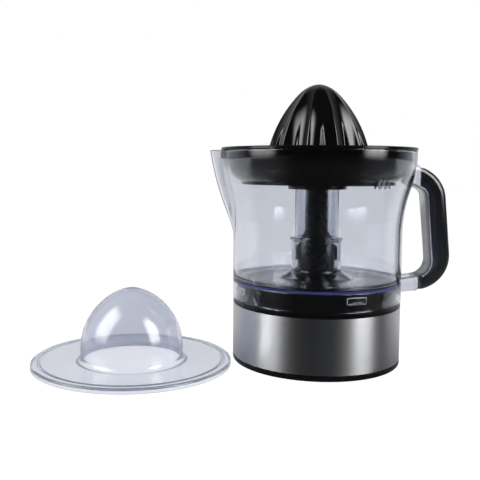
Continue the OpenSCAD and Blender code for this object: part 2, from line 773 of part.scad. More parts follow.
module switch_body() {
    z0 = cover_z + 4.05;
    color("#2f3a52") difference() {
        translate([switch_x - 7, -4.5, z0]) cube([16, 9, switch_top_z - z0]);
        at([switch_x, 0], switch_top_z - press_travel - 6) cylinder(r = 1.75, h = 30);
        for (x = [switch_x - 4.5, switch_x + 6.5]) at([x, 0], z0 - 1) cylinder(r = screw_r + 0.05, h = 6);
        translate([switch_x + 3.5, -6, switch_top_z - 4]) cube([6, 12, 6]);
    }
}

module switch_plunger() {
    color("#d9d2b0") {
        at([switch_x, 0], switch_top_z - 4) cylinder(r = 1.5, h = thrust_z - part_gap - switch_top_z + 3.6);
        at([switch_x, 0], thrust_z - part_gap - 0.5) cylinder(r1 = 1.5, r2 = 1, h = 0.5);
    }
}

module switch_screws() {
    color("silver") for (x = [switch_x - 4.5, switch_x + 6.5]) at([x, 0]) {
        at([0, 0], foot_h + 0.2) cylinder(r = screw_r, h = 10);
    }
}

// ---------------------------------------------------------------- jug
// Half profile of the jug's wall, inset from the outside, from z_low to z_high.
function jug_wall(inset, z_low, z_high) =
    let (z0 = jug_floor_z + flare_start, zm = jug_floor_z + flare_turn, z1 = jug_floor_z + flare_end,
        turn = 2 * atan((rim_r - jug_r) / (z1 - z0)),
        r1 = (zm - z0) / sin(turn), r2 = (z1 - zm) / sin(turn))
    concat([[jug_r - inset, z_low]],
        arc([jug_r + r1, z0], r1 + inset, 180, 180 - turn, 8),
        arc([rim_r - r2, z1], r2 - inset, -turn, 0, 8),
        [[rim_r - inset, z_high]]);

// Section of the spout across its edge, seen along the sweep.
module spout_section(inset) {
    tip = spout_tip_r - inset;
    c = [spout_arc_r - spout_tip_r, 0];
    far = 46;
    touch = 90 - spout_side_deg;
    a = c + polar(tip, touch);
    polygon(concat(arc(c, tip, -touch, touch, 8),
        [a + far * [-cos(spout_side_deg), sin(spout_side_deg)],
        [a[0] - far * cos(spout_side_deg), -a[1] - far * sin(spout_side_deg)]]));
}

// The spout is swept along a slow arc that leaves the wall low down and leans out to the lip.
module spout_sweep(inset, top) {
    lean_deg = 9;
    tip_x = -(rim_r + spout_reach);
    centre = [tip_x + spout_arc_r * cos(lean_deg), jug_rim_z + spout_arc_r * sin(lean_deg)];
    intersection() {
        translate([centre[0], 0, centre[1]]) rotate([0, -184, 0]) rotate([90, 0, 0])
            rotate_extrude(angle = 24) spout_section(inset);
        translate([-200, -100, jug_floor_z]) cube([150, 200, top - jug_floor_z]);
    }
}

// The handle seen from the side, in X and Z measured from the jug's lower wall and floor.
module handle_outline() {
    out = jug_r + handle_reach;
    translate([0, jug_floor_z]) polygon(rounded([[jug_r - 1, 104.7, 0], [out - 8.7, 88.5, 30],
        [out, -4.6, 30], [jug_r - 1, -9, 0]]));
}

module gap_outline(grow = 0) {
    out = jug_r + handle_reach;
    offset(delta = grow) translate([0, jug_floor_z]) polygon(rounded([
        [jug_r - 4, 87.5, 0], [out - 25.6, 76.4, 8], [out - 19.3, 7.4, 13], [jug_r - 4, 2.3, 0]]));
}

module from_side(half_w) {
    translate([0, half_w, 0]) rotate([90, 0, 0]) linear_extrude(2 * half_w) children();
}

module handle() {
    difference() {
        from_side(handle_w / 2) difference() {
            handle_outline();
            gap_outline();
        }
        // channel that takes the hand grip, open on the palm side
        from_side(handle_w / 2 - channel_t) difference() {
            translate([rim_r + 3, 0]) square([60, jug_rim_z]);
            gap_outline(channel_t);
        }
    }
}

module juice_space() {
    corner = 4;
    rise_z = jug_floor_z + jug_floor_t;
    rotate_extrude() polygon(concat(
        [[0, post_top_z], [post_top_r, post_top_z], [post_top_r, post_step_z + 2],
        [post_flange_r, post_step_z + 2], [post_flange_r, post_step_z], [post_r, post_step_z],
        [post_r, rise_z + post_rise + 1], [post_r + 1, rise_z + post_rise],
        [floor_crease_r, rise_z]],
        arc([jug_in_r - corner, rise_z + corner], corner, -90, 0, 5),
        jug_wall(jug_t, rise_z + corner + 1, jug_rim_z + 1), [[0, jug_rim_z + 1]]));
}

module under_jug() {
    rotate_extrude() polygon([[0, 0], [jug_in_r, 0], [jug_in_r, jug_floor_z],
        [floor_crease_r, jug_floor_z], [post_in_r + 1, jug_floor_z + post_rise],
        [post_in_r, jug_floor_z + post_rise + 1], [post_in_r, post_step_z - 0.2],
        [post_top_in_r, post_step_z - 0.2], [post_top_in_r, post_top_z + 1], [0, post_top_z + 1]]);
}

module bayonet_lug() {
    half = asin(lug_w / 2 / collar_r);
    translate([0, 0, lug_z]) rotate([0, 0, -half]) rotate_extrude(angle = 2 * half)
        translate([lug_in_r, 0]) square([jug_in_r - lug_in_r + 0.5, lug_h]);
}

module jug() {
    color("#c9ccd6", 0.35) union() {
        difference() {
            union() {
                rotate_extrude() polygon(concat([[0, jug_skirt_z]],
                    jug_wall(0, jug_skirt_z, jug_rim_z), [[0, jug_rim_z]]));
                spout_sweep(0, jug_rim_z);
                handle();
            }
            juice_space();
            spout_sweep(jug_t, jug_rim_z + 1);
            under_jug();
        }
        around([for (i = [0:lugs - 1]) lug_deg + i * 360 / lugs]) bayonet_lug();
    }
}

module hand_grip() {
    proud = 0.5;
    color("#141416") from_side(handle_w / 2 - channel_t - part_gap) difference() {
        intersection() {
            offset(delta = -proud) handle_outline();
            translate([rim_r + 7, 0]) square([60, jug_rim_z]);
        }
        offset(delta = -grip_depth) handle_outline();
        gap_outline(channel_t + part_gap);
    }
}

// ---------------------------------------------------------------- strainer, reamer and lid
function bowl_side(inset, z_top) = concat(
    arc([bowl_r - bowl_corner_r, bowl_z + bowl_corner_r], bowl_corner_r - inset, -90, 0, 8),
    [[bowl_r - inset, z_top]]);

module strainer() {
    foot_ring_r0 = 61.5;
    skirt_r = 24.5;
    color("#17171a") difference() {
        union() {
            rotate_extrude() polygon(concat([[collar_hole_r, bowl_z]], bowl_side(0, flange_z),
                [[flange_r, flange_z], [flange_r, flange_z + flange_t - 0.6],
                [flange_r - 0.6, flange_z + flange_t], [bowl_r - strainer_t, flange_z + flange_t]],
                [for (i = [8:-1:0]) bowl_side(strainer_t, 0)[i]],
                [[collar_hole_r + 3.5, bowl_z + strainer_t], [collar_hole_r + 2, bowl_z + strainer_t + 1.5],
                [collar_hole_r + 2, bowl_z + strainer_collar_h], [collar_hole_r, bowl_z + strainer_collar_h]]));
            // foot ring and the collar that drops over the jug's post
            at([0, 0], bowl_z - 0.7) tube(foot_ring_r0 + 2.5, foot_ring_r0, 3.6);
            at([0, 0], bowl_z - 4.7) tube(skirt_r, post_top_r + 0.6, 4.7 + eps);
            // tab that stands in the mouth of the spout
            translate([-(rim_r - 1.2), -8, flange_z - 7.3]) cube([5.4, 16, 7.3 + eps]);
        }
        around([for (i = [0:juice_slots - 1]) i * 360 / juice_slots])
            translate([bowl_r - bowl_corner_r - 17, -slot_w / 2, bowl_z - 6]) cube([17.5, slot_w, 12]);
    }
}

// Half profile of the reamer through its ribs, a dome that narrows to a blunt point.
reamer_steps = 9;
function reamer_side(inset, scale_h = 1) = [
    for (i = [0:reamer_steps]) let (t = 1 - pow(1 - i / reamer_steps, 1.6), h = reamer_h - 2)
        [max(0, (reamer_r - inset) * pow(max(0, 1 - pow(t, 1.6)), 0.56)),
        reamer_z + 2 + t * (h - inset * scale_h)]];

// A flute is cut by a twelve-sided tool that follows the dome and runs out below the tip.
module flute(tool_r, depth) {
    meridian_r = 2.395 * reamer_r;
    centre_x = reamer_r - depth - meridian_r;
    translate([centre_x, 0, reamer_z - 3]) rotate([90, 0, 0])
        rotate([0, 0, -12]) rotate_extrude(angle = 70)
            translate([meridian_r + tool_r, 0]) circle(r = tool_r, $fn = 12);
}

// The dome with one flute after the other cut out of it.
module fluted(count) {
    if (count == 0) {
        rotate_extrude() polygon(concat([[0, reamer_z], [reamer_r, reamer_z]], reamer_side(0)));
    } else {
        difference() {
            fluted(count - 1);
            rotate([0, 0, rib_turn + (count - 0.5) * 360 / ribs]) flute(24, flute_depth);
        }
    }
}

// A short rib that rises out of a flute and ends in a point.
module short_rib() {
    meridian_r = 1.9 * reamer_r;
    crest = reamer_r - 1.4;
    translate([crest - meridian_r, 0, reamer_z + 4]) rotate([90, 0, 0])
        rotate([0, 0, -4]) rotate_extrude(angle = 42)
            polygon([[meridian_r, -0.25], [meridian_r, 0.25], [meridian_r - 9, 4.2], [meridian_r - 9, -4.2]]);
}

module reamer() {
    color("#101012") difference() {
        union() {
            fluted(ribs);
            intersection() {
                around([for (i = [0:ribs - 1]) rib_turn + (i + 0.5) * 360 / ribs]) short_rib();
                rotate_extrude() polygon(concat([[0, reamer_z], [reamer_r - 1.4, reamer_z]],
                    reamer_side(1.4)));
            }
        }
        // hollow inside, with the driven hub left standing
        difference() {
            rotate_extrude() polygon(concat([[0, reamer_z - 1],
                [reamer_r - flute_depth - reamer_t, reamer_z - 1]],
                reamer_side(flute_depth + reamer_t, 1.1)));
            at([0, 0], reamer_hub_z) cylinder(r = reamer_hub_r, h = 100);
        }
        at([0, 0], reamer_z - 2) hexagon(hub_flats + 2 * socket_gap, hub_top_z + part_gap - reamer_z + 2);
    }
    // the hub reaches a little below the reamer's foot
    color("#101012") difference() {
        at([0, 0], reamer_hub_z) cylinder(r = reamer_hub_r, h = 20);
        at([0, 0], reamer_hub_z - 1) hexagon(hub_flats + 2 * socket_gap, 30);
    }
}

// Half outline of the dome: half an ellipse on a short upright neck.
function dome_side(inset, neck_z, n) = [for (i = [0:n]) let (a = 90 * i / n)
    [(dome_r - inset) * cos(a), neck_z + (lid_h - neck_z - inset) * sin(a)]];

module lid() {
    lip_t = 1.4;
    lip_r = flange_r + 0.2 + lip_t;
    brim_z = 4.5;
    neck_z = 14;
    bead = 0.9;
    foot = 3.2;
    color("#d4d8e0", 0.3) translate([lid_x, lid_y, 0]) rotate_extrude() polygon(concat(
        [[0, lid_h - lid_t - 0.5], [0, lid_h - 1]],
        [[4.2, lid_h - 1], [4.6, lid_h - 0.3]],
        [for (i = [15:-1:0]) dome_side(0, neck_z, 16)[i]],
        arc([dome_r + foot, brim_z - 0.6 + foot], foot, 180, 270, 5),
        [[lip_r - 8.6, brim_z - 0.6], [lip_r - 7.4, brim_z + bead - 0.6], [lip_r - 5.8, brim_z + bead - 0.6],
        [lip_r - 4.8, brim_z - 0.3], [lip_r - 1.5, brim_z]],
        arc([lip_r - 1.5, brim_z - 1.5], 1.5, 90, 0, 4),
        [[lip_r, 0.3], [lip_r - 0.3, 0], [lip_r - lip_t, 0], [lip_r - lip_t, brim_z - lid_t],
        [lip_r - 5.4, brim_z - lid_t], [lip_r - 6.3, brim_z + bead - 0.6 - lid_t],
        [lip_r - 7, brim_z + bead - 0.6 - lid_t], [lip_r - 8.2, brim_z - 0.6 - lid_t],
        [dome_r + foot - lid_t, brim_z - 0.6 - lid_t], [dome_r - lid_t, brim_z]],
        [for (i = [0:15]) dome_side(lid_t, neck_z, 16)[i]]));
}

base_cover();
rubber_feet();
base_screws();
steel_band();
motor_housing();
cord_grommet();
gearbox_frame();
gearbox_cover();
gearbox_screws();
gear_axles();
core_laminations();
coil_bobbin();
motor_coil();
shading_rings();
motor_brackets();
rotor_bushes();
motor_screws();
rotor();
motor_pinion();
first_gear();
second_gear();
output_gear();
spindle();
spindle_clip();
drive_hub();
tower();
tower_seal();
tower_bushes();
thrust_plate();
return_spring();
switch_body();
switch_plunger();
switch_screws();
jug();
hand_grip();
strainer();
reamer();
lid();
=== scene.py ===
# %% [markdown]
# # A citrus press, finished for a studio picture
# The press is a round motor base with a steel band, a clear jug with a handle and a spout, a black
# strainer and a black ribbed reamer. Its clear dome lid lies beside it. The construction arrives as
# exact parts with plain surfaces. This lesson gives every part its finish, and models again the
# parts whose curves carry the picture: clear plastic shows every facet, so those want smooth shells.

# %% Load the parts
import json
import math

import bmesh
import bpy
from mathutils import Matrix, Vector

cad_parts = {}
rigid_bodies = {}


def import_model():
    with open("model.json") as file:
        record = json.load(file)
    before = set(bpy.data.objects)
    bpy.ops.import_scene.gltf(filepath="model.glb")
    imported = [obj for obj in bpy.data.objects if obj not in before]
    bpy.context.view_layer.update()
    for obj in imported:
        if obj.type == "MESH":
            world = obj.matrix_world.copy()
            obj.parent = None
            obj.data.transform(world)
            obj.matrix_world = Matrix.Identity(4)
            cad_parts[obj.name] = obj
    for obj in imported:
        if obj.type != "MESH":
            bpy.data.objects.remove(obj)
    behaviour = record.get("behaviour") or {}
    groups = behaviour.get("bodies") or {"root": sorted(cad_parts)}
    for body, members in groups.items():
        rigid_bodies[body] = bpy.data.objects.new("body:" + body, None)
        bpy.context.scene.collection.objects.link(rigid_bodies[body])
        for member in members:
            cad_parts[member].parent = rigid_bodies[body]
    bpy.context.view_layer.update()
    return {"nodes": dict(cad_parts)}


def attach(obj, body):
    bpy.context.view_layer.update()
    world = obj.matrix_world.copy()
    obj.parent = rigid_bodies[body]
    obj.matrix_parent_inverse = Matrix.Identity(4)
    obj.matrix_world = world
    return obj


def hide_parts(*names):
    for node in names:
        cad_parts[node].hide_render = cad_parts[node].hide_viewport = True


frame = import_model()
MM = 0.001

# %% [markdown]
# ## The camera
# The eye is a little below the rim of the jug and about 60 cm away. A fairly long lens keeps the
# jug's sides upright. The small shift keeps the lens nearly level while the lid and the handle
# stay in the frame, as a view camera would.

# %% Camera
LENS_MM = 51.08
CAMERA_AT = Vector((-84.77, -574.96, 163.95)) * MM
PITCH_DOWN_DEG = 4.057
ROLL_DEG = 0.37
SHIFT = (0.0488, -0.0516)

camera_data = bpy.data.cameras.new("camera")
camera = bpy.data.objects.new("camera", camera_data)
bpy.context.scene.collection.objects.link(camera)
camera_data.sensor_width = 36
camera_data.lens = LENS_MM
camera_data.shift_x, camera_data.shift_y = SHIFT
camera_data.clip_start, camera_data.clip_end = 0.01, 50
look = Matrix.Rotation(math.radians(90 - PITCH_DOWN_DEG), 4, "X")
roll = Matrix.Rotation(math.radians(ROLL_DEG), 4, "Z")
camera.matrix_world = Matrix.Translation(CAMERA_AT) @ look @ roll
bpy.context.scene.camera = camera
bpy.context.scene.view_settings.view_transform = "Standard"
print("camera at", [round(v, 3) for v in camera.location])

# %% [markdown]
# ## Colours and nodes
# Colours are written as sRGB hex values, because that is how a painter or a web page names them.
# Shaders work in linear light, so one function turns them. Another small function adds a node with
# its settings and its links, which keeps each material a short recipe.

# %% Helpers for colours and nodes
def linear(hex_colour):
    """sRGB hex such as '#c0c4c8' as linear RGBA."""
    parts = [int(hex_colour[i:i + 2], 16) / 255 for i in (1, 3, 5)]
    turned = [v / 12.92 if v <= 0.04045 else ((v + 0.055) / 1.055) ** 2.4 for v in parts]
    return (*turned, 1)


def add_node(tree, kind, links=(), **settings):
    """Adds a node. Settings name its inputs or its own properties; links are (socket, input)."""
    node = tree.nodes.new(kind)
    for name, value in settings.items():
        socket = name.replace("_", " ")
        if socket in node.inputs:
            node.inputs[socket].default_value = value
        else:
            setattr(node, name, value)
    for source, target in links:
        tree.links.new(source, node.inputs[target])
    return node


def new_material(name):
    """An empty material with its output node: (material, tree, output)."""
    material = bpy.data.materials.new(name)
    material.use_nodes = True
    tree = material.node_tree
    tree.nodes.clear()
    return material, tree, add_node(tree, "ShaderNodeOutputMaterial")


def surface_pattern(tree, scale_mm, stretch=(1, 1, 1), detail=2.0):
    """Noise on Object coordinates whose grain is scale_mm wide, stretched along some axes."""
    place = add_node(tree, "ShaderNodeTexCoord")
    grain = [s / (scale_mm * MM) for s in stretch]
    turned = add_node(tree, "ShaderNodeMapping", [(place.outputs["Object"], "Vector")], Scale=grain)
    return add_node(tree, "ShaderNodeTexNoise", [(turned.outputs[0], "Vector")], Scale=1.0, Detail=detail)


def spread(tree, value, low, high):
    """Maps a 0 to 1 pattern to the range low to high."""
    return add_node(tree, "ShaderNodeMapRange", [(value, "Value")], To_Min=low, To_Max=high)


print("a middle grey #808080 is", round(linear("#808080")[0], 3), "in linear light")

# %% [markdown]
# ## Moulded plastics
# The black parts are ABS from polished tools. ABS is never one flat black: fine dust and handling
# make its gloss uneven, which a slow noise in the roughness shows as soft clouds inside a
# highlight. The same recipe with other numbers makes satin covers, acetal gears and rubber.

# %% Plastic and rubber materials
MOULDED_IOR = 1.5


def moulded(name, colour, rough, rough_spread, grain_mm, bump_mm):
    """Opaque plastic: a colour, a gloss that varies slowly, and a fine moulded grain."""
    material, tree, output = new_material(name)
    clouds = surface_pattern(tree, 9.0)
    gloss = spread(tree, clouds.outputs["Fac"], rough, rough + rough_spread)
    grain = surface_pattern(tree, grain_mm)
    bump = add_node(tree, "ShaderNodeBump", [(grain.outputs["Fac"], "Height")],
                    Strength=1.0, Distance=bump_mm * MM)
    shade = spread(tree, clouds.outputs["Fac"], 0.85, 1.15)
    tint = add_node(tree, "ShaderNodeVectorMath", [(shade.outputs[0], 1)], operation="MULTIPLY")
    tint.inputs[0].default_value = linear(colour)[:3]
    shader = add_node(tree, "ShaderNodeBsdfPrincipled",
                      [(tint.outputs[0], "Base Color"), (gloss.outputs[0], "Roughness"),
                       (bump.outputs[0], "Normal")], IOR=MOULDED_IOR)
    tree.links.new(shader.outputs[0], output.inputs["Surface"])
    return material


polished_abs = moulded("black_abs_polished", "#0b0b0c", 0.06, 0.05, 0.9, 0.002)
# A pale plastic for beads that stand in for light on the lug edges: a painted highlight.
highlight_paint = moulded("painted_highlight_plastic", "#c9ced8", 0.2, 0.1, 0.8, 0.002)
satin_abs = moulded("black_abs_satin", "#0d0d0e", 0.22, 0.1, 0.35, 0.004)
grip_abs = moulded("black_abs_grip", "#0a0a0b", 0.14, 0.08, 0.6, 0.002)
reamer_abs = moulded("black_abs_reamer", "#0a0a0b", 0.05, 0.06, 1.2, 0.003)
foot_rubber = moulded("black_rubber", "#1b1b1c", 0.6, 0.15, 0.4, 0.01)
natural_acetal = moulded("natural_acetal", "#e4dfcf", 0.32, 0.1, 0.5, 0.004)
dark_nylon = moulded("dark_nylon", "#2b3038", 0.4, 0.12, 0.4, 0.006)
winding_enamel = moulded("copper_winding_enamel", "#a8552a", 0.3, 0.1, 0.5, 0.05)
print("moulded materials:", len(bpy.data.materials))

# %% [markdown]
# ## Metals
# A brushed band is turned against an abrasive belt, so its scratches run around it. Each scratch
# throws light up and down, and leaves it sharp sideways: the upright bright and dark bars of a
# steel cylinder. Anisotropy with a tangent around the axis does that, and fine lines in the
# roughness and the bump make the brushing show. Bushes, screws and wire use the plain recipe.

# %% Metal materials
def bare_metal(name, colour, rough, grain_mm, stretch, bump_mm, brushed=0.0):
    """Metal with lines or grain. Stretch sets the grain's direction; brushed turns on anisotropy."""
    material, tree, output = new_material(name)
    lines = surface_pattern(tree, grain_mm, stretch, detail=4.0)
    gloss = spread(tree, lines.outputs["Fac"], rough - 0.05, rough + 0.08)
    bump = add_node(tree, "ShaderNodeBump", [(lines.outputs["Fac"], "Height")],
                    Strength=1.0, Distance=bump_mm * MM)
    shade = spread(tree, lines.outputs["Fac"], 0.9, 1.08)
    tint = add_node(tree, "ShaderNodeVectorMath", [(shade.outputs[0], 1)], operation="MULTIPLY")
    tint.inputs[0].default_value = linear(colour)[:3]
    links = [(tint.outputs[0], "Base Color"), (gloss.outputs[0], "Roughness"), (bump.outputs[0], "Normal")]
    shader = add_node(tree, "ShaderNodeBsdfPrincipled", links, Metallic=1.0, Anisotropic=brushed,
                      Anisotropic_Rotation=0.25 if brushed else 0.0)
    if brushed:
        around = add_node(tree, "ShaderNodeTangent", direction_type="RADIAL", axis="Z")
        tree.links.new(around.outputs[0], shader.inputs["Tangent"])
    tree.links.new(shader.outputs[0], output.inputs["Surface"])
    return material


brushed_steel = bare_metal("steel_brushed_around", "#d4d5d7", 0.3, 0.22, (0.02, 0.02, 1), 0.0015, 0.9)
ground_steel = bare_metal("steel_ground", "#c9cbce", 0.2, 0.4, (1, 1, 0.2), 0.002)
zinc_plate = bare_metal("steel_zinc_plated", "#bfc3c8", 0.3, 1.5, (1, 1, 1), 0.004)
spring_wire = bare_metal("spring_wire", "#8d9094", 0.28, 0.5, (1, 1, 1), 0.003)
core_steel = bare_metal("electrical_steel_sheets", "#7c7e80", 0.42, 0.5, (0.05, 0.05, 1), 0.02)
sintered_bronze = bare_metal("sintered_bronze", "#a9813f", 0.4, 0.3, (1, 1, 1), 0.01)
print("materials with the metals:", len(bpy.data.materials))

# %% [markdown]
# ## Clear plastic
# The jug and the lid are styrene acrylonitrile, a clear moulding plastic with a cool tint. Light
# that passes straight through a wall hardly changes, but light that runs along inside it, at an
# edge or in the floor, comes out blue. Absorption inside the solid does just that, and at the
# floor's edge a bluish glow is painted on as well. Lamps shine through clear plastic, so shadow
# rays pass a lightly tinted see-through surface. The lid and the handle have fine scratches,
# which a little scattered light stands for.

# %% Clear material
STYRENE_IOR = 1.56


def math_node(tree, operation, first, second):
    """A Math node. Each value is a socket or a number."""
    node = add_node(tree, "ShaderNodeMath", operation=operation)
    for i, value in enumerate((first, second)):
        if isinstance(value, (int, float)):
            node.inputs[i].default_value = value
        else:
            tree.links.new(value, node.inputs[i])
    return node.outputs[0]


def edge_glow(tree, clear, colour, low, high, inner_r, outer_r):
    """Paints the light piped through the floor as a bluish glow where the floor meets the wall."""
    place = add_node(tree, "ShaderNodeTexCoord")
    axes = add_node(tree, "ShaderNodeSeparateXYZ", [(place.outputs["Object"], 0)])
    flat = add_node(tree, "ShaderNodeVectorMath", [(place.outputs["Object"], 0)], operation="MULTIPLY")
    flat.inputs[1].default_value = (1, 1, 0)
    out = add_node(tree, "ShaderNodeVectorMath", [(flat.outputs[0], 0)], operation="LENGTH")
    above = math_node(tree, "GREATER_THAN", axes.outputs["Z"], low * MM)
    below = math_node(tree, "LESS_THAN", axes.outputs["Z"], high * MM)
    outside = math_node(tree, "GREATER_THAN", out.outputs["Value"], inner_r * MM)
    within = math_node(tree, "LESS_THAN", out.outputs["Value"], outer_r * MM)
    ring = math_node(tree, "MULTIPLY", math_node(tree, "MULTIPLY", above, below),
                     math_node(tree, "MULTIPLY", outside, within))
    piped = add_node(tree, "ShaderNodeBsdfPrincipled", Base_Color=linear(colour), Roughness=0.3,
                     Transmission_Weight=0.6)
    amount = math_node(tree, "MULTIPLY", ring, 0.6)
    return add_node(tree, "ShaderNodeMixShader",
                    [(amount, 0), (clear.outputs[0], 1), (piped.outputs[0], 2)])


def clear_plastic(name, tint, inner_tint, density, rough, haze=0.0, glow_mm=None):
    """Clear solid plastic. Long paths turn to inner_tint, haze scatters a share of the light, and
    glow_mm is the ring (z0, z1, r0, r1) where a bluish glow is painted for light coming out of the floor's
    edge."""
    material, tree, output = new_material(name)
    flow = surface_pattern(tree, 28.0, (1, 1, 0.4))
    bump = add_node(tree, "ShaderNodeBump", [(flow.outputs["Fac"], "Height")],
                    Strength=1.0, Distance=0.05 * MM)
    wear = surface_pattern(tree, 6.0)
    gloss = spread(tree, wear.outputs["Fac"], rough, rough + 0.03)
    body = add_node(tree, "ShaderNodeBsdfPrincipled",
                    [(gloss.outputs[0], "Roughness"), (bump.outputs[0], "Normal")],
                    Base_Color=linear(tint), Transmission_Weight=1.0, IOR=STYRENE_IOR)
    if haze:
        milky = add_node(tree, "ShaderNodeBsdfTranslucent", Color=linear("#c8cddb"))
        body = add_node(tree, "ShaderNodeMixShader",
                        [(body.outputs[0], 1), (milky.outputs[0], 2)], Fac=haze)
    if glow_mm:
        body = edge_glow(tree, body, "#5a64c0", *glow_mm)
    lamps_pass = add_node(tree, "ShaderNodeBsdfTransparent", Color=(0.9, 0.91, 0.93, 1))
    path = add_node(tree, "ShaderNodeLightPath")
    both = add_node(tree, "ShaderNodeMixShader",
                    [(path.outputs["Is Shadow Ray"], 0), (body.outputs[0], 1), (lamps_pass.outputs[0], 2)])
    inside = add_node(tree, "ShaderNodeVolumeAbsorption", Color=linear(inner_tint), Density=density)
    tree.links.new(both.outputs[0], output.inputs["Surface"])
    tree.links.new(inside.outputs[0], output.inputs["Volume"])
    return material


# The ring where a painted bluish glow stands for light coming out of the jug floor's edge.
JUG_GLOW = (68.9, 70.9, 69.0, 70.5)
clear_jug = clear_plastic("clear_styrene_jug", "#e7e9ee", "#a4abc9", 12.0, 0.01, glow_mm=JUG_GLOW)
clear_handle = clear_plastic("clear_styrene_handle", "#e7e9ee", "#a4abc9", 12.0, 0.04, 0.08)
clear_lid = clear_plastic("clear_styrene_lid", "#e9ebf1", "#a4abd0", 10.0, 0.05, 0.12)
print("clear plastics:", clear_jug.name, clear_handle.name, clear_lid.name)

# %% [markdown]
# ## Finishes for the exact parts
# Each exact part takes the finish that its real piece has. Their meshes are loose triangles, so a
# Weld joins them, smooth faces hide the facets, and an Edge Split keeps real corners crisp.

# %% Give every part its finish
FINISHES = {
    "base_cover": satin_abs, "rubber_feet": foot_rubber, "base_screws": zinc_plate,
    "steel_band": brushed_steel, "motor_housing": polished_abs, "cord_grommet": foot_rubber,
    "gearbox_frame": natural_acetal, "gearbox_cover": natural_acetal, "gearbox_screws": zinc_plate,
    "gear_axles": ground_steel, "core_laminations": core_steel, "coil_bobbin": dark_nylon,
    "motor_coil": winding_enamel, "shading_rings": sintered_bronze, "motor_brackets": zinc_plate,
    "rotor_bushes": sintered_bronze, "motor_screws": zinc_plate, "rotor": core_steel,
    "motor_pinion": sintered_bronze, "first_gear": natural_acetal, "second_gear": natural_acetal,
    "output_gear": natural_acetal, "spindle": ground_steel, "spindle_clip": spring_wire,
    "drive_hub": satin_abs, "tower": satin_abs, "tower_seal": polished_abs,
    "tower_bushes": sintered_bronze, "thrust_plate": natural_acetal, "return_spring": spring_wire,
    "switch_body": dark_nylon, "switch_plunger": natural_acetal, "switch_screws": zinc_plate,
    "jug": clear_jug, "hand_grip": satin_abs, "strainer": polished_abs, "reamer": reamer_abs,
    "lid": clear_lid,
}
CORNER_DEG = 28


def finish_part(part, material):
    """Gives an exact part its material and smooth shading. Its vertices stay as they are."""
    part.data.materials.clear()
    part.data.materials.append(material)
    part.data.polygons.foreach_set("use_smooth", [True] * len(part.data.polygons))
    weld = part.modifiers.new("weld", "WELD")
    weld.merge_threshold = 0.0005 * MM
    split = part.modifiers.new("corners", "EDGE_SPLIT")
    split.split_angle = math.radians(CORNER_DEG)


for part_name, material in FINISHES.items():
    finish_part(frame["nodes"][part_name], material)
print("finished", len(FINISHES), "parts")

# %% [markdown]
# ## The clear jug
# The jug is one injection moulding. Its wall is a turned profile: upright below, an S-shaped flare
# above. The spout is a rounded wedge that leans out of the wall. Every ring of vertices takes
# the larger of the two shapes, so wall and spout are one smooth skin, inside and outside.

# %% The jug's wall and spout
JUG_R, RIM_R, RIM_Z, WALL_T = 70.3, 80.8, 178.0, 2.5
FLARE = (108.0, 148.0, 175.0)
SPOUT = {"tip": 90.5, "tip_r": 7.0, "side": math.radians(52), "arc_r": 237.0, "lean": math.radians(9)}


def wall_radius(z):
    """Outer radius of the wall at height z: two arcs that meet at the turn of the flare."""
    start, turn_z, end = FLARE
    turn = 2 * math.atan((RIM_R - JUG_R) / (end - start))
    low_r, high_r = (turn_z - start) / math.sin(turn), (end - turn_z) / math.sin(turn)
    if z <= start:
        return JUG_R
    if z <= turn_z:
        return JUG_R + low_r - math.sqrt(low_r ** 2 - (z - start) ** 2)
    return RIM_R - high_r + math.sqrt(high_r ** 2 - max(0, end - z) ** 2)


def spout_distance(z, y, inset):
    """How far out the spout's side lies at height z, y away from its middle plane."""
    tip = SPOUT["tip_r"] - inset
    touch = math.pi / 2 - SPOUT["side"]
    reach = SPOUT["arc_r"] - SPOUT["tip_r"]
    edge = tip * math.sin(touch)
    if abs(y) <= edge:
        reach += math.sqrt(tip ** 2 - y ** 2)
    else:
        reach += tip * math.cos(touch) - (abs(y) - edge) / math.tan(SPOUT["side"])
    centre = SPOUT["tip"] - SPOUT["arc_r"] * math.cos(SPOUT["lean"])
    rise = z - RIM_Z - SPOUT["arc_r"] * math.sin(SPOUT["lean"])
    return centre + math.sqrt(max(0, reach ** 2 - rise ** 2))


def shell_radius(z, away, inset):
    """Radius of the skin at height z, at an angle away from the spout's middle."""
    wall = wall_radius(z) - inset
    if abs(away) > math.radians(40):
        return wall
    low, high = 0.0, 120.0
    for _ in range(26):
        middle = (low + high) / 2
        inside = spout_distance(z, middle * math.sin(away), inset) > middle * math.cos(away)
        low, high = (middle, high) if inside else (low, middle)
    blend = max(0.0, 5.0 - abs(low - wall))
    return max(low, wall) + blend ** 2 / 20


print("spout tip at", round(shell_radius(RIM_Z, 0, 0), 1), "mm")

# %% [markdown]
# ## Turned shells
# A closed profile turned round the axis makes a wall with a real thickness. Light
# needs both faces of a clear wall. Corners of moulded parts are never sharp, so
# a small function rounds each corner of a profile before it is turned.

# %% Profile and turning helpers
def rounded_path(corners, steps=8, closed=False):
    """Rounds each corner (a, b, radius) of a path with an arc of that radius."""
    count = len(corners)
    points = []
    for i, (a, b, radius) in enumerate(corners):
        at_end = not closed and i in (0, count - 1)
        if radius == 0 or at_end:
            points.append((a, b))
            continue
        here = Vector((a, b))
        before = (Vector(corners[i - 1][:2]) - here).normalized()
        after = (Vector(corners[(i + 1) % count][:2]) - here).normalized()
        half = before.angle(after) / 2
        reach = radius / math.tan(half)
        centre = here + (before + after).normalized() * radius / math.sin(half)
        first, last = here + before * reach - centre, here + after * reach - centre
        turn = -first.angle_signed(last)
        for step in range(steps + 1):
            swung = Matrix.Rotation(turn * step / steps, 2) @ first
            points.append(tuple(centre + swung))
    return points


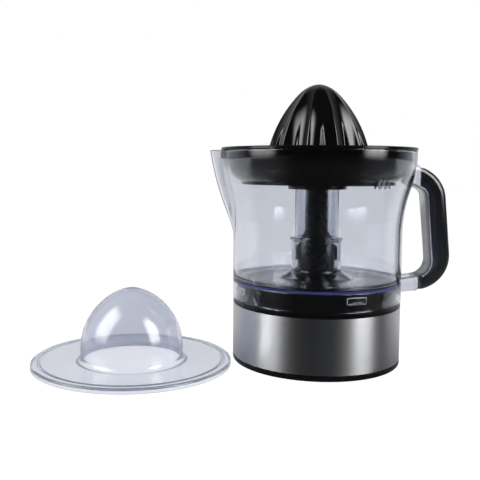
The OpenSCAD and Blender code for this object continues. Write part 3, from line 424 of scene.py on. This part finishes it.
def build_piece(name, bm, body, material, node=None, smooth_deg=35):
    """Makes a shown piece from a bmesh: smooth, crisp at corners, riding on its body."""
    bmesh.ops.recalc_face_normals(bm, faces=bm.faces)
    mesh = bpy.data.meshes.new(name)
    bm.to_mesh(mesh)
    bm.free()
    mesh.materials.append(material)
    mesh.polygons.foreach_set("use_smooth", [True] * len(mesh.polygons))
    piece = bpy.data.objects.new(name, mesh)
    bpy.context.scene.collection.objects.link(piece)
    split = piece.modifiers.new("corners", "EDGE_SPLIT")
    split.split_angle = math.radians(smooth_deg)
    if node:
        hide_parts(node)
    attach(piece, body)
    return piece


def skin(bm, rings, close_rings=True):
    """Joins closed rows of points (mm) with quads, and the last row with the first if asked."""
    rows = [[bm.verts.new(Vector(p) * MM) for p in ring] for ring in rings]
    pairs = list(zip(rows, rows[1:])) + ([(rows[-1], rows[0])] if close_rings else [])
    for one, two in pairs:
        for i in range(len(one)):
            j = (i + 1) % len(one)
            bm.faces.new((one[i], one[j], two[j], two[i]))
    return rows


print("a rounded square corner has", len(rounded_path([(0, 1, 0), (0, 0, 0.5), (1, 0, 0)])) - 2, "points")

# %% [markdown]
# ## Jug body
# The profile runs up the outside, over the round rim, down the inside to the floor, up the hollow post
# and down again under the floor. Ring after ring follows it. The skirt below the floor hides
# the housing's rim, and the post keeps the juice away from the drive.

# %% Turn the jug's body
wall_heights = [54.9, 62, 80, 98] + [104 + 2 * i for i in range(37)] + [177.2]
around_spout = [math.radians(0.5 * i) for i in range(-52, 53)]
rest_of_turn = [math.radians(26 + 308 * (i + 1) / 140) for i in range(139)]
spokes = around_spout + rest_of_turn

profile = [("wall", z, 0.0) for z in wall_heights]
profile += [("wall", 177.65, 0.12), ("wall", 177.9, 0.45), ("wall", 178.0, 0.95), ("wall", 178.0, 1.55),
            ("wall", 177.9, 2.05), ("wall", 177.65, 2.38)]
profile += [("wall", z, WALL_T) for z in reversed(wall_heights[3:])]
hollow = rounded_path([
    (67.8, 80, 0), (67.8, 71, 4), (32, 71, 7), (21.7, 77.3, 1), (20.9, 78.5, 0.8), (20.9, 103, 0.8),
    (22, 103, 0.4), (22, 105, 0.5), (18.3, 105, 0.8), (18.3, 150.7, 0.5), (16.3, 150.7, 0.3),
    (16.3, 102.8, 0.4), (18.7, 102.8, 0.8), (18.7, 75.5, 0.8), (19.7, 74.5, 0.6), (32, 68.5, 5),
    (67.8, 68.5, 0.5), (67.8, 54.3, 0.4), (70.3, 54.3, 0.4), (70.3, 54.9, 0)], 6)
profile += [("turned", z, r) for r, z in hollow[:-1]]

jug_bm = bmesh.new()
rings = []
for kind, z, value in profile:
    ring = []
    for away in spokes:
        radius = shell_radius(z, math.remainder(away, 2 * math.pi), value) if kind == "wall" else value
        ring.append((-radius * math.cos(away), -radius * math.sin(away), z))
    rings.append(ring)
skin(jug_bm, rings)
jug_body = build_piece("clear_jug_body", jug_bm, "jug", clear_jug, "jug", 40)
print("jug body:", len(jug_body.data.vertices), "vertices")

# %% [markdown]
# ## Handle lines
# The handle is a clear channel, open towards the palm, with a black grip pressed into it. Its outside
# is round where the hand closes on it. Both are solids whose rounded sections run between an outer
# and an inner line.

# %% Handle lines
OUTER_LINE = rounded_path([(79.3, 168.7, 0), (105.6, 157, 30), (114.3, 63.9, 30), (69.1, 59.48, 0)], 12)
INNER_LINE = rounded_path([(76, 151.2, 0), (88.7, 144.9, 8), (95, 75.9, 13), (69.1, 71.3, 0)], 12)
HANDLE_HALF, CHANNEL_T = 12.0, 2.2


def moved(line, distance):
    """The line moved sideways, to its left as it runs."""
    shifted = []
    for i, point in enumerate(line):
        ahead = Vector(line[min(i + 1, len(line) - 1)]) - Vector(line[max(i - 1, 0)])
        side = Vector((-ahead.y, ahead.x)).normalized()
        shifted.append(tuple(Vector(point) + side * distance))
    return shifted


def section(outer, inner, half, palm_r, finger_r, clip, steps=6):
    """A rounded section across the handle, from its finger side to its palm side."""
    outer, inner = Vector(outer), Vector(inner)
    depth = (outer - inner).length
    along = (outer - inner) / depth
    corners = [(0, -half, finger_r), (depth, -half, palm_r), (depth, half, palm_r), (0, half, finger_r)]
    ring = []
    for reach, y in rounded_path(corners, steps, closed=True):
        place = inner + along * reach
        ring.append((place.x, min(max(y, -clip), clip), place.y))
    return ring


def sectioned_solid(bm, outer_line, inner_line, half, palm_r, finger_r, clip=50):
    """Joins the sections along two lines into a closed solid."""
    rings = [section(o, i, half, palm_r, finger_r, clip) for o, i in zip(outer_line, inner_line)]
    rows = skin(bm, rings, close_rings=False)
    bm.faces.new(rows[0])
    bm.faces.new(list(reversed(rows[-1])))


print("handle lines:", len(OUTER_LINE), "and", len(INNER_LINE), "points")

# %% [markdown]
# ## Handle channel
# The channel is milled out of the solid handle, as a tool's core leaves it in the moulding. A Boolean
# does that. Its result is kept as the handle's mesh, so the cutter can go.

# %% Cut the channel
handle_bm = bmesh.new()
sectioned_solid(handle_bm, OUTER_LINE, INNER_LINE, HANDLE_HALF, 7.0, 2.2)
handle = build_piece("clear_handle", handle_bm, "jug", clear_handle, None, 40)

CHANNEL_X = 83.8
CHANNEL_HALF = HANDLE_HALF - CHANNEL_T
web = [p for p in moved(INNER_LINE, CHANNEL_T) if p[0] > CHANNEL_X]
outline = [(CHANNEL_X, web[0][1] + 0.9)] + web
outline += [(CHANNEL_X, web[-1][1] - 0.3), (CHANNEL_X, 40), (130, 40), (130, 185), (CHANNEL_X, 185)]
cutter_bm = bmesh.new()
face = cutter_bm.faces.new([cutter_bm.verts.new(Vector((x, -CHANNEL_HALF, z)) * MM) for x, z in outline])
raised = bmesh.ops.extrude_face_region(cutter_bm, geom=[face])
lifted = [v for v in raised["geom"] if isinstance(v, bmesh.types.BMVert)]
bmesh.ops.translate(cutter_bm, verts=lifted, vec=Vector((0, 2 * CHANNEL_HALF, 0)) * MM)
bmesh.ops.recalc_face_normals(cutter_bm, faces=cutter_bm.faces)
cutter_mesh = bpy.data.meshes.new("channel_cutter")
cutter_bm.to_mesh(cutter_mesh)
cutter_bm.free()
cutter = bpy.data.objects.new("channel_cutter", cutter_mesh)
bpy.context.scene.collection.objects.link(cutter)
cut = handle.modifiers.new("channel", "BOOLEAN")
cut.object, cut.operation, cut.solver = cutter, "DIFFERENCE", "EXACT"
handle.modifiers.move(len(handle.modifiers) - 1, 0)
bpy.context.view_layer.update()
ready = handle.evaluated_get(bpy.context.evaluated_depsgraph_get())
cut_mesh = bpy.data.meshes.new_from_object(ready)
handle.modifiers.clear()
handle.data = cut_mesh
bpy.data.objects.remove(cutter)
print("handle:", len(handle.data.vertices), "vertices")

# %% [markdown]
# ## Grip
# The black grip fills the channel and stands almost flush with it. It is made by the same function as
# the handle, between two lines that are the handle's outer line moved inwards.

# %% Grip
GRIP_X = 88.3
GRIP_LINE = [(GRIP_X, 164.7)] + [p for p in OUTER_LINE if p[0] > GRIP_X]
grip_bm = bmesh.new()
sectioned_solid(grip_bm, moved(GRIP_LINE, -0.6), moved(GRIP_LINE, -11.2), 11.4, 6.4, 1.0, 9.5)
grip = build_piece("hand_grip_insert", grip_bm, "jug", grip_abs, "hand_grip", 30)
print("grip:", len(grip.data.vertices), "vertices")

# %% [markdown]
# ## Bayonet lugs
# Four short lugs inside the skirt drop into slots of the housing's rim, and a quarter of a turn locks
# the jug. Each is a rounded section carried around the axis.

# %% Lugs
LUG_DEG, LUG_HALF_DEG = -71, 6.84
corners = [(65.2, 60.5, 0.9), (67.7, 60.5, 0.5), (67.7, 65.5, 0.5), (65.2, 65.5, 0.9)]
lug_section = rounded_path(corners, 3, closed=True)
lug_bm = bmesh.new()
for index in range(4):
    start = Matrix.Rotation(math.radians(LUG_DEG + 90 * index - LUG_HALF_DEG), 3, "Z")
    end = lug_bm.faces.new([lug_bm.verts.new(start @ Vector((r, 0, z)) * MM) for r, z in lug_section])
    bmesh.ops.spin(lug_bm, geom=[end], axis=(0, 0, 1), angle=math.radians(2 * LUG_HALF_DEG), steps=8)
lugs = build_piece("bayonet_lugs", lug_bm, "jug", clear_jug, None, 40)
print("lugs:", len(lugs.data.vertices), "vertices")

# %% [markdown]
# ## Painted highlights on the lugs
# The round edges of a clear lug gather light and show as pale outlines on the black housing behind
# them. That light is too fine for a few samples, so a thin pale bead around each lug is painted on as a
# highlight.

# %% Lug edges: painted highlight beads
BEAD_R, BEAD_AT_R, LUG_R = 0.28, 67.4, 66.0
highlight_bm = bmesh.new()
for index in range(4):
    middle = math.radians(LUG_DEG + 90 * index)
    half_w = math.radians(LUG_HALF_DEG) * LUG_R
    corners = [(-half_w, 60.5, 1.2), (half_w, 60.5, 1.2), (half_w, 65.5, 1.2), (-half_w, 65.5, 1.2)]
    loop = rounded_path(corners, 4, closed=True)
    edge_rings = []
    for i, (across, z) in enumerate(loop):
        ahead = Vector(loop[(i + 1) % len(loop)]) - Vector(loop[i - 1])
        normal = Vector((ahead.y, -ahead.x)).normalized()
        ring = []
        for step in range(6):
            swing = math.radians(60 * step)
            side = BEAD_R * math.cos(swing)
            angle = middle + (across + side * normal.x) / LUG_R
            radius = BEAD_AT_R + BEAD_R * math.sin(swing)
            ring.append((radius * math.cos(angle), radius * math.sin(angle), z + side * normal.y))
        edge_rings.append(ring)
    skin(highlight_bm, edge_rings)
edges = build_piece("lug_painted_highlights", highlight_bm, "jug", highlight_paint, None, 60)
print("lug edges:", len(edges.data.vertices), "vertices")

# %% [markdown]
# ## Lid
# The lid is one thin turned shell: a dome with sloping shoulders, a wide fillet into a flat brim, and
# a raised bead and a lip at its edge. It lies beside the press, so its axis is off to the left.

# %% Turn the lid
LID_AT, LID_H, LID_T, DOME_R, NECK_Z = (-155.0, -12.8), 63.6, 2.0, 42.5, 14.0
SHOULDER = 1.2


def dome_line(inset, steps=24):
    """The dome's half outline from its neck to near the top."""
    line = []
    for i in range(steps):
        a = math.radians(88 * i / (steps - 1))
        radius = (DOME_R - inset) * math.cos(a) ** SHOULDER
        line.append((radius, NECK_Z + (LID_H - NECK_Z - inset) * math.sin(a)))
    return line


foot_out = rounded_path([(42.5, 14, 0), (42.5, 3.9, 5), (60, 3.9, 0)], 8)[1:-1]
foot_in = rounded_path([(60, 1.9, 0), (40.5, 1.9, 4.5), (40.5, 14, 0)], 8)[1:-1]
brim = rounded_path([
    (60, 3.9, 0), (74.2, 3.9, 1), (75.4, 4.8, 0.6), (77, 4.8, 0.6), (78, 4.1, 1), (82.8, 4.5, 1.6),
    (82.8, 0, 0.4), (81.4, 0, 0.3), (81.4, 2.5, 0.5), (77.4, 2.2, 0.8), (76.5, 2.8, 0.5),
    (75.8, 2.8, 0.5), (74.6, 1.9, 0.8), (60, 1.9, 0)], 4)
top = [(0, 62.6), (3.8, 62.6), (4.6, 62.9)]
lid_profile = top + dome_line(0)[::-1] + foot_out + brim + foot_in + dome_line(LID_T) + [(0, 61.1)]
lid_bm = bmesh.new()
points = [lid_bm.verts.new(Vector((LID_AT[0] + r, LID_AT[1], z)) * MM) for r, z in lid_profile]
outline = [lid_bm.edges.new(pair) for pair in zip(points, points[1:])]
bmesh.ops.spin(lid_bm, geom=points + outline, cent=Vector((*LID_AT, 0)) * MM, axis=(0, 0, 1),
               angle=math.tau, steps=180, use_merge=True)
bmesh.ops.remove_doubles(lid_bm, verts=lid_bm.verts, dist=1e-6)
lid_piece = build_piece("clear_lid", lid_bm, "lid", clear_lid, "lid", 40)
print("lid:", len(lid_piece.data.vertices), "vertices")

# %% [markdown]
# ## The reamer's ribs
# A reamer's long ribs are what is left between round flutes. Short ribs stand in the flutes near the
# foot and tear the pulp. One function gives the radius at any height and angle: the lower of dome
# and flute, or the short rib where it stands higher, with a small round wherever two of them meet.

# %% Shape of the ribs
RIBS, RIB_DEG, REAMER_R, FOOT_Z, TIP_Z = 11, -109.3, 44.5, 160.2, 233.2
TOOL_R, ARC_R, ARC_X, ARC_Z = 24.0, 106.6, -66.6, 157.2
RIB_H, RIB_RUN, RIB_SLOPE, RIB_TOP_R = 3.8, 38.0, 1.7, 0.6
pitch = 2 * math.pi / RIBS


def dome_at(share, inset=0.0):
    """Radius of the reamer's dome at a share of its height."""
    return (REAMER_R - inset) * max(0.0, 1 - share ** 1.6) ** 0.56


def ribbed_radius(share, z, away):
    """Radius of the ribbed skin at an angle away from the middle of a flute."""
    dome = dome_at(share)
    floor_r = math.sqrt(ARC_R ** 2 - (z - ARC_Z) ** 2) + ARC_X
    reach = floor_r + TOOL_R
    flute = reach * math.cos(away) - math.sqrt(max(0.0, TOOL_R ** 2 - (reach * math.sin(away)) ** 2))
    radius = min(dome, flute) - max(0.0, 1.2 - abs(dome - flute)) ** 2 / 4.8
    beside_rib = math.hypot(away * radius, RIB_TOP_R) - RIB_TOP_R
    crest = RIB_H * (1 - ((z - FOOT_Z) / RIB_RUN) ** 2) - RIB_SLOPE * beside_rib
    rib = min(floor_r + crest, dome - 1.0)
    return max(radius, rib) + max(0.0, 0.9 - abs(radius - rib)) ** 2 / 3.6


print("reamer through a rib:", round(ribbed_radius(0, FOOT_Z + 2, pitch / 2), 1), "mm, through a flute:",
      round(ribbed_radius(0.6, FOOT_Z + 45, 0), 1), "mm at 45 mm up")

# %% [markdown]
# ## The reamer's solid
# Rings of points run from the tip down the ribs to the foot, up the hollow inside, and down and up
# the hub with its hexagonal socket, which fits the driver. The rings lie closer towards the tip.

# %% Model the reamer
NECK_H, INNER_T, HUB_R, HUB_Z, SOCKET_HALF, SOCKET_TOP_Z = 2.0, 6.5, 10.5, 158.0, 6.65, 188.2
ream_spokes = [math.radians(360 * i / (RIBS * 48)) for i in range(RIBS * 48)]
levels = [(1 - (1 - i / 72) ** 1.6) for i in range(72)]
outside = [(share, FOOT_Z + NECK_H + share * (TIP_Z - FOOT_Z - NECK_H)) for share in reversed(levels)]
outside.append((0.0, FOOT_Z))
ream_rings = []
for share, z in outside:
    ring = []
    for angle in ream_spokes:
        away = math.remainder(angle - math.radians(RIB_DEG) - pitch / 2, pitch)
        radius = ribbed_radius(share, max(z, FOOT_Z + NECK_H), away)
        ring.append((radius * math.cos(angle), radius * math.sin(angle), z))
    ream_rings.append(ring)
hollow_side = [(dome_at(share, INNER_T), FOOT_Z + NECK_H + share * 63.8) for share in levels]
hollow_side = [(REAMER_R - INNER_T, FOOT_Z)] + [p for p in hollow_side if p[0] > HUB_R + 0.4]
hollow_side += [(HUB_R, hollow_side[-1][1] + 0.3), (HUB_R, HUB_Z + 0.6), (HUB_R - 0.6, HUB_Z)]
for radius, z in hollow_side:
    ream_rings.append([(radius * math.cos(angle), radius * math.sin(angle), z) for angle in ream_spokes])
for z in (HUB_Z, SOCKET_TOP_Z):
    ring = []
    for angle in ream_spokes:
        radius = SOCKET_HALF / math.cos(math.remainder(angle - math.pi / 6, math.pi / 3))
        ring.append((radius * math.cos(angle), radius * math.sin(angle), z))
    ream_rings.append(ring)
ream_bm = bmesh.new()
rows = skin(ream_bm, ream_rings, close_rings=False)
ream_bm.faces.new(rows[0])
ream_bm.faces.new(list(reversed(rows[-1])))
reamer_piece = build_piece("ribbed_reamer", ream_bm, "reamer", reamer_abs, "reamer", 38)
print("reamer:", len(reamer_piece.data.vertices), "vertices")

# %% [markdown]
# ## Fill mark
# The word MAX stands a little proud of the wall, in the jug's own clear plastic. It is a text object
# turned into a mesh and bent around the wall at its height.

# %% Fill mark
text = bpy.data.curves.new("fill_mark", "FONT")
text.body, text.size, text.extrude, text.offset = "MAX", 10.5 * MM, 0.25 * MM, 0.05 * MM
text.align_x, text.align_y = "CENTER", "CENTER"
lettering = bpy.data.objects.new("fill_mark", text)
bpy.context.scene.collection.objects.link(lettering)
bpy.context.view_layer.update()
flat_mesh = bpy.data.meshes.new_from_object(lettering.evaluated_get(bpy.context.evaluated_depsgraph_get()))
bpy.data.objects.remove(lettering)
mark_bm = bmesh.new()
mark_bm.from_mesh(flat_mesh)
bpy.data.meshes.remove(flat_mesh)
MARK_DEG, MARK_Z = 30.3, 151.5
for vert in mark_bm.verts:
    x, y, depth = (c / MM for c in vert.co)
    radius = wall_radius(MARK_Z + y) + 0.35 + depth
    angle = math.radians(MARK_DEG) + 0.74 * x / wall_radius(MARK_Z)
    vert.co = Vector((radius * math.sin(angle), -radius * math.cos(angle), MARK_Z + y)) * MM
build_piece("fill_mark_letters", mark_bm, "jug", clear_jug, None, 30)
print("fill mark at", MARK_Z, "mm")

# %% [markdown]
# ## The white background
# Behind the press all is white, but white all around would turn black gloss grey. So a ray sees white
# only if it comes from the camera, straight or through clear plastic. Rays that scattered on black
# parts, or were mirrored towards the front, see the dark room instead.

# %% Which rays see the white background
def background_rays(tree, rays, behind):
    """1 for camera rays and rays through clear plastic. Mirrored ones count only towards the back."""
    clear = math_node(tree, "LESS_THAN", rays.outputs["Glossy Depth"], 0.5)
    opened = math_node(tree, "MAXIMUM", clear, behind)
    unscattered = math_node(tree, "LESS_THAN", rays.outputs["Diffuse Depth"], 0.5)
    allowed = math_node(tree, "MULTIPLY", opened, unscattered)
    through = math_node(tree, "MULTIPLY", rays.outputs["Is Transmission Ray"], allowed)
    return math_node(tree, "MAXIMUM", rays.outputs["Is Camera Ray"], through)


print("materials so far:", len(bpy.data.materials))

# %% [markdown]
# ## The room
# The world paints the room that gloss reflects: nearly black in front, where the lamps stand out, and
# a soft grey far behind the press. It turns white for the rays that may see the background.

# %% World
world = bpy.data.worlds.new("studio")
bpy.context.scene.world = world
world.use_nodes = True
sky = world.node_tree
sky.nodes.clear()
sky_out = add_node(sky, "ShaderNodeOutputWorld")
facing = add_node(sky, "ShaderNodeTexCoord")
axes = add_node(sky, "ShaderNodeSeparateXYZ", [(facing.outputs["Generated"], 0)])
behind = add_node(sky, "ShaderNodeMapRange", [(axes.outputs["Y"], "Value")],
                  From_Min=0.7, From_Max=0.95, To_Min=0.0, To_Max=1.0)
far_wall = add_node(sky, "ShaderNodeMapRange", [(axes.outputs["Y"], "Value")], From_Min=0.05, From_Max=0.5)
room = add_node(sky, "ShaderNodeMix", [(far_wall.outputs[0], "Factor")], data_type="RGBA")
room.inputs[6].default_value = (0.008, 0.0085, 0.01, 1)
room.inputs[7].default_value = (0.4, 0.41, 0.44, 1)
sky_rays = add_node(sky, "ShaderNodeLightPath")
plain_view = background_rays(sky, sky_rays, behind.outputs[0])
seen = add_node(sky, "ShaderNodeMix", [(plain_view, "Factor"), (room.outputs[2], 6)], data_type="RGBA")
seen.inputs[7].default_value = (1, 1, 1, 1)
glow = add_node(sky, "ShaderNodeBackground", [(seen.outputs[2], "Color")], Strength=1.0)
sky.links.new(glow.outputs[0], sky_out.inputs["Surface"])
print("world:", world.name, "with", len(sky.nodes), "nodes")

# %% [markdown]
# ## Lamps
# Clear and black gloss need something to reflect. Two tall softboxes stand left and right of the
# camera and give the steel band its two bright bars, and a small bluish window is high behind the
# camera. A softbox is dimmer towards its edges, which a pattern in the lamp gives.

# %% Lamps
def softbox(name, azimuth_deg, height, distance, width, tall, power, colour="#ffffff"):
    """A lamp with soft edges that faces the press. Azimuth 0 is behind the camera, plus is right."""
    data = bpy.data.lights.new(name, "AREA")
    data.shape = "RECTANGLE"
    data.size, data.size_y, data.energy = width, tall, power
    data.color = linear(colour)[:3]
    data.use_nodes = True
    tree = data.node_tree
    spot = add_node(tree, "ShaderNodeNewGeometry")
    axes = add_node(tree, "ShaderNodeSeparateXYZ", [(spot.outputs["Parametric"], 0)])
    fades = []
    for axis in "XY":
        inward = math_node(tree, "PINGPONG", axes.outputs[axis], 0.5)
        fades.append(add_node(tree, "ShaderNodeMapRange", [(inward, "Value")],
                              interpolation_type="SMOOTHSTEP", From_Max=0.32).outputs[0])
    tree.links.new(math_node(tree, "MULTIPLY", *fades), tree.nodes["Emission"].inputs["Strength"])
    lamp = bpy.data.objects.new(name, data)
    bpy.context.scene.collection.objects.link(lamp)
    turn = math.radians(azimuth_deg)
    lamp.location = (math.sin(turn) * distance, -math.cos(turn) * distance, height)
    aim = Vector((0, 0, 0.13)) - lamp.location
    lamp.rotation_mode = "QUATERNION"
    lamp.rotation_quaternion = aim.to_track_quat("-Z", "Y")


softbox("softbox_left", -73, 0.62, 0.9, 0.86, 1.3, 22.0)
softbox("softbox_right", 58, 0.62, 0.9, 0.74, 1.3, 27.0)
softbox("window", 4, 0.62, 1.1, 0.34, 0.2, 0.25, "#7da4e0")
print("lamps:", len(bpy.data.lights))

# %% [markdown]
# ## Floor
# The floor is white paper. For the camera it glows nearly white and keeps a tenth of its own shading,
# which is the soft shadow under the press. In reflections it is dark in front and grey behind, so
# the black parts stay black and the steel has edges.

# %% Floor
floor_mesh = bpy.data.meshes.new("floor")
floor_bm = bmesh.new()
bmesh.ops.create_grid(floor_bm, x_segments=1, y_segments=1, size=4.0)
floor_bm.to_mesh(floor_mesh)
floor_bm.free()
floor = bpy.data.objects.new("floor", floor_mesh)
bpy.context.scene.collection.objects.link(floor)
floor_material, tree, output = new_material("white_sweep")
paper = add_node(tree, "ShaderNodeBsdfDiffuse", Color=(0.8, 0.8, 0.8, 1))
path = add_node(tree, "ShaderNodeLightPath")
place = add_node(tree, "ShaderNodeTexCoord")
spot = add_node(tree, "ShaderNodeSeparateXYZ", [(place.outputs["Object"], 0)])
back = add_node(tree, "ShaderNodeMapRange", [(spot.outputs["Y"], "Value")], From_Min=-0.04, From_Max=0.12)
apart = add_node(tree, "ShaderNodeVectorMath", [(place.outputs["Object"], 0)], operation="LENGTH")
off_middle = math_node(tree, "ABSOLUTE", spot.outputs["X"], 0)
sideways = math_node(tree, "DIVIDE", off_middle, apart.outputs["Value"])
beside = add_node(tree, "ShaderNodeMapRange", [(sideways, "Value")],
                  From_Min=0.6, From_Max=0.9, To_Min=0.01, To_Max=0.12)
shade = add_node(tree, "ShaderNodeMapRange", [(back.outputs[0], "Value")], To_Max=0.6)
tree.links.new(beside.outputs[0], shade.inputs["To Min"])
plain_view = background_rays(tree, path, back.outputs[0])
strength = math_node(tree, "MAXIMUM", math_node(tree, "MULTIPLY", plain_view, 1.13), shade.outputs[0])
white = add_node(tree, "ShaderNodeEmission", [(strength, "Strength")], Color=(1, 1, 1, 1))
mirrored = math_node(tree, "MAXIMUM", path.outputs["Is Transmission Ray"], path.outputs["Is Glossy Ray"])
unlit = math_node(tree, "MULTIPLY", mirrored, math_node(tree, "SUBTRACT", 0.97, plain_view))
share = math_node(tree, "MAXIMUM", math_node(tree, "MULTIPLY", plain_view, 0.9), unlit)
mixed = add_node(tree, "ShaderNodeMixShader", [(share, 0), (paper.outputs[0], 1), (white.outputs[0], 2)])
tree.links.new(mixed.outputs[0], output.inputs["Surface"])
floor_mesh.materials.append(floor_material)
print("floor:", round(floor.dimensions.x, 1), "m wide")
